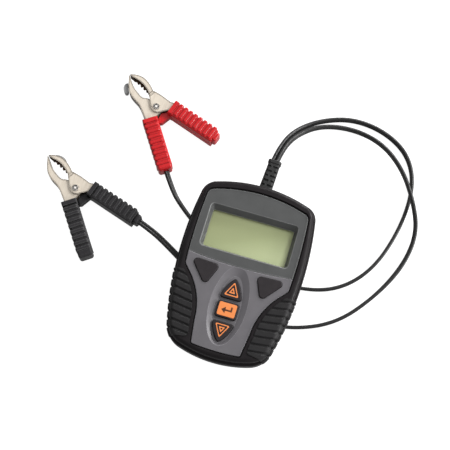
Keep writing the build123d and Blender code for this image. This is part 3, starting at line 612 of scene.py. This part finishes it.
MATERIALS = {
    "case_plastic": case_plastic(),
    "bezel_plastic": bezel_plastic(),
    "panel_plastic": panel_plastic(),
    "grip_rubber": grip_rubber(),
    "relief_rubber": relief_rubber(),
    "window_clear": window_clear(),
    "lcd_face": lcd_face(),
    "key_orange": key_orange(),
    "key_dark": key_dark(),
    "sign_brown": sign_brown(),
    "lead_rubber": lead_rubber(),
    "jaw_steel": jaw_steel(),
    "rivet_steel": rivet_steel(),
    # The red grip's rib edges get painted shade; the black grip's get a painted highlight, and its
    # creases painted shade.
    "red_grip": vinyl(
        "red_grip", dark=(0.44, 0.005, 0.008), light=(0.51, 0.008, 0.011),
        painted_ridge_shading=(0.28, 0.003, 0.006),
    ),
    "black_grip": vinyl(
        "black_grip", dark=(0.024, 0.0228, 0.0245), light=(0.031, 0.0295, 0.0318),
        painted_ridge_shading=grey(0.085), painted_crease_shade=grey(0.0005), specular=0.1,
    ),
}
MATERIALS.update({name: plain_metal(name, *look) for name, look in METALS.items()})
MATERIALS.update({name: plain_plastic(name, *look) for name, look in PLASTICS.items()})


def coat(thing, slot, look=None):
    """Finish for a new piece: its slot's material, or another look in that slot."""
    thing.data.materials.clear()
    thing.data.materials.append(MATERIALS[look or slot])


def coat_nodes():
    """The material of its slot on every CAD node. The enter key is dark under its orange plate."""
    for part in frame["record"]["subparts"]:
        thing = nodes[part["node"]]
        material = MATERIALS[part["material_slot"]]
        if not thing.material_slots:
            thing.data.materials.append(material)
        for holder in thing.material_slots:
            holder.material = material
    nodes["key_enter"].material_slots[0].material = MATERIALS["key_dark"]


coat_nodes()
for lead in leads:
    coat(lead, "lead_rubber")


# ================================================================ key signs
def ring_plate(name, outer, inner, low, high):
    """Flat raised band between two outlines of the same number of points, in millimetres."""
    count = len(outer)
    vertices = []
    for z in (low, high):
        for loop in (outer, inner):
            vertices += [Vector((x, y, z)) * MM for x, y in loop]
    faces = []
    for i in range(count):
        k = (i + 1) % count
        low_out, low_in, high_out, high_in = (i + count * n for n in range(4))
        next_low_out, next_low_in, next_high_out, next_high_in = (k + count * n for n in range(4))
        faces.append((high_out, next_high_out, next_high_in, high_in))
        faces.append((low_out, low_in, next_low_in, next_low_out))
        faces.append((low_out, next_low_out, next_high_out, high_out))
        faces.append((low_in, high_in, next_high_in, next_low_in))
    return link_mesh(name, vertices, faces, smooth=False)


def solid_plate(name, outline, low, high):
    """Flat raised plate inside one outline, in millimetres."""
    count = len(outline)
    vertices = [Vector((x, y, z)) * MM for z in (low, high) for x, y in outline]
    faces = [tuple(range(count, 2 * count)), tuple(reversed(range(count)))]
    for i in range(count):
        k = (i + 1) % count
        faces.append((i, k, k + count, i + count))
    return link_mesh(name, vertices, faces, smooth=False)


def rounded(points, radius, steps=5):
    """A convex outline with its corners rounded."""
    out = []
    count = len(points)
    for i in range(count):
        here = Vector(points[i])
        before = (Vector(points[i - 1]) - here).normalized()
        after = (Vector(points[(i + 1) % count]) - here).normalized()
        half = before.angle(after) / 2
        reach = radius / math.tan(half)
        start, end = here + before * reach, here + after * reach
        for n in range(steps + 1):
            t = n / steps
            a = start.lerp(here, t)
            b = here.lerp(end, t)
            out.append(tuple(a.lerp(b, t)))
    return out


def scaled(points, factor, centre):
    """An outline made larger or smaller about a centre."""
    cx, cy = centre
    return [(cx + (x - cx) * factor, cy + (y - cy) * factor) for x, y in points]


def rectangle(x, y, half_width, half_height):
    """Corners of a rectangle about (x, y)."""
    return [
        (x - half_width, y - half_height), (x + half_width, y - half_height),
        (x + half_width, y + half_height), (x - half_width, y + half_height),
    ]


# Sizes of the signs in millimetres. SINK is how far a sign reaches down into its key.
KEY_FACE = 33.4
SINK = 0.1
TRIANGLE_RISE = 0.12
PLATE_RISE = 0.15
ARROW_RISE = 0.2

# Key, Y of the triangle's tip, and Y of its base.
TRIANGLES = (("key_up", -9.6, -20.6), ("key_down", -52.8, -42.4))
TRIANGLE_HALF_BASE = 5.6
TRIANGLE_CORNER = 0.9
BAND_OPENING = 0.78
MARK_SCALE = 0.42
MARK_OPENING = 0.4

PLATE_Y = -31.2
PLATE_HALF_WIDTH = 6.7
PLATE_HALF_HEIGHT = 5.0
PLATE_CORNER = 1.2

ARROW_Y = -31.7
ARROW_TIP_X = -4.2
ARROW_HEAD_X = -1.2
ARROW_HEAD_HALF = 2.4
ARROW_STROKE_HALF = 0.6
STEM_LEFT_X = 2.7
STEM_RIGHT_X = 3.9
STEM_TOP_Y = -28.6


def return_arrow():
    """Outline of a return sign: a stem down, then a shaft to the left with a head."""
    low, high = ARROW_Y - ARROW_STROKE_HALF, ARROW_Y + ARROW_STROKE_HALF
    return [
        (STEM_RIGHT_X, STEM_TOP_Y), (STEM_RIGHT_X, low), (ARROW_HEAD_X, low),
        (ARROW_HEAD_X, ARROW_Y - ARROW_HEAD_HALF), (ARROW_TIP_X, ARROW_Y),
        (ARROW_HEAD_X, ARROW_Y + ARROW_HEAD_HALF), (ARROW_HEAD_X, high),
        (STEM_LEFT_X, high), (STEM_LEFT_X, STEM_TOP_Y),
    ]


def triangle_signs():
    """A large and a small triangle, each with a hole in it, on the up and down keys."""
    made = []
    low, high = KEY_FACE - SINK, KEY_FACE + TRIANGLE_RISE
    for key, tip_y, base_y in TRIANGLES:
        centre = (0.0, tip_y + (base_y - tip_y) * 2 / 3)
        corners = [(0.0, tip_y), (-TRIANGLE_HALF_BASE, base_y), (TRIANGLE_HALF_BASE, base_y)]
        large = rounded(corners, TRIANGLE_CORNER)
        small = scaled(large, MARK_SCALE, centre)
        for end, outer, opening in (("band", large, BAND_OPENING), ("mark", small, MARK_OPENING)):
            inner = scaled(outer, opening, centre)
            sign = ring_plate(f"{key}_{end}", outer, inner, low, high)
            made.append((sign, key, "key_orange", None))
    return made


def enter_signs():
    """An orange plate on the enter key, with a return arrow on it."""
    outline = rounded(rectangle(0.0, PLATE_Y, PLATE_HALF_WIDTH, PLATE_HALF_HEIGHT), PLATE_CORNER)
    plate = solid_plate("enter_plate", outline, KEY_FACE - SINK, KEY_FACE + PLATE_RISE)
    arrow = solid_plate("enter_arrow", return_arrow(), KEY_FACE + SINK, KEY_FACE + ARROW_RISE)
    return [
        (plate, "key_enter", "key_orange", None),
        (arrow, "key_enter", "key_dark", "sign_brown"),
    ]


for thing, body, slot, look in triangle_signs() + enter_signs():
    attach(thing, body)
    coat(thing, slot, look)


# ================================================================ stage
FLOOR_HALF_SIZE = 3.0
FLOOR_GLOW = 0.15
FLOOR_GLOW_SEEN = 0.92


def make_floor():
    """White paper that looks bright in the picture, but lights the object's sides only a little."""
    size = FLOOR_HALF_SIZE
    corners = [(-size, -size, 0), (size, -size, 0), (size, size, 0), (-size, size, 0)]
    floor = link_mesh("floor", corners, [(0, 1, 2, 3)], smooth=False)
    s = Surface("floor_paper", rough=0.9, specular=0.1, edge=0.0)
    s.two_tone(grey(0.29), grey(0.3), 200 * MM)
    s.shader.inputs["Emission Color"].default_value = (1.0, 1.0, 1.0, 1.0)
    seen = s.add("ShaderNodeLightPath").outputs["Is Camera Ray"]
    glow = s.math("ADD", s.math("MULTIPLY", seen, FLOOR_GLOW_SEEN - FLOOR_GLOW), FLOOR_GLOW)
    s.join(glow, s.shader.inputs["Emission Strength"])
    floor.data.materials.append(s.material)


SKY_LOW = 1.0
SKY_HIGH = 0.74
BRIGHT_SIDE = (0.75, 0.66, 0.0)
SIDE_RANGE = (0.35, 1.35)


def make_world():
    """A pale dome, brighter near the horizon and on the side of the soft box."""
    world = bpy.data.worlds.new("studio")
    world.use_nodes = True
    tree = world.node_tree
    place = tree.nodes.new("ShaderNodeTexCoord")
    parts = tree.nodes.new("ShaderNodeSeparateXYZ")
    height = tree.nodes.new("ShaderNodeMapRange")
    height.inputs["To Min"].default_value = SKY_LOW
    height.inputs["To Max"].default_value = SKY_HIGH
    facing = tree.nodes.new("ShaderNodeVectorMath")
    facing.operation = "DOT_PRODUCT"
    facing.inputs[1].default_value = BRIGHT_SIDE
    side = tree.nodes.new("ShaderNodeMapRange")
    side.inputs["From Min"].default_value = -1.0
    side.inputs["To Min"].default_value = SIDE_RANGE[0]
    side.inputs["To Max"].default_value = SIDE_RANGE[1]
    strength = tree.nodes.new("ShaderNodeMath")
    strength.operation = "MULTIPLY"
    tree.links.new(place.outputs["Generated"], parts.inputs["Vector"])
    tree.links.new(place.outputs["Generated"], facing.inputs[0])
    tree.links.new(parts.outputs["Z"], height.inputs["Value"])
    tree.links.new(facing.outputs["Value"], side.inputs["Value"])
    tree.links.new(height.outputs["Result"], strength.inputs[0])
    tree.links.new(side.outputs["Result"], strength.inputs[1])
    background = tree.nodes["Background"]
    background.inputs["Color"].default_value = (1.0, 1.0, 1.0, 1.0)
    tree.links.new(strength.outputs["Value"], background.inputs["Strength"])
    scene.world = world


# Name: (place, diameter and power in watts) of the round lamps, which all point at one spot.
LIGHTS = {
    "soft_box": ((0.75, 0.7, 0.75), 0.35, 11.0),
    "low_box": ((1.1, 0.1, 0.35), 0.3, 7.0),
    "rim_box": ((0.22, 1.12, 0.42), 0.3, 7.0),
}
LIGHT_TARGET = (0.0, 0.03, 0.0)


def area_light(name, place, size, power):
    """A round lamp that points at the target."""
    aim = Vector(LIGHT_TARGET) - Vector(place)
    data = bpy.data.lights.new(name, "AREA")
    data.shape = "DISK"
    data.size = size
    data.energy = power
    light = bpy.data.objects.new(name, data)
    light.location = place
    light.rotation_euler = aim.to_track_quat("-Z", "Y").to_euler()
    scene.collection.objects.link(light)


make_floor()
make_world()
for lamp, settings in LIGHTS.items():
    area_light(lamp, *settings)
scene.view_settings.view_transform = "Standard"
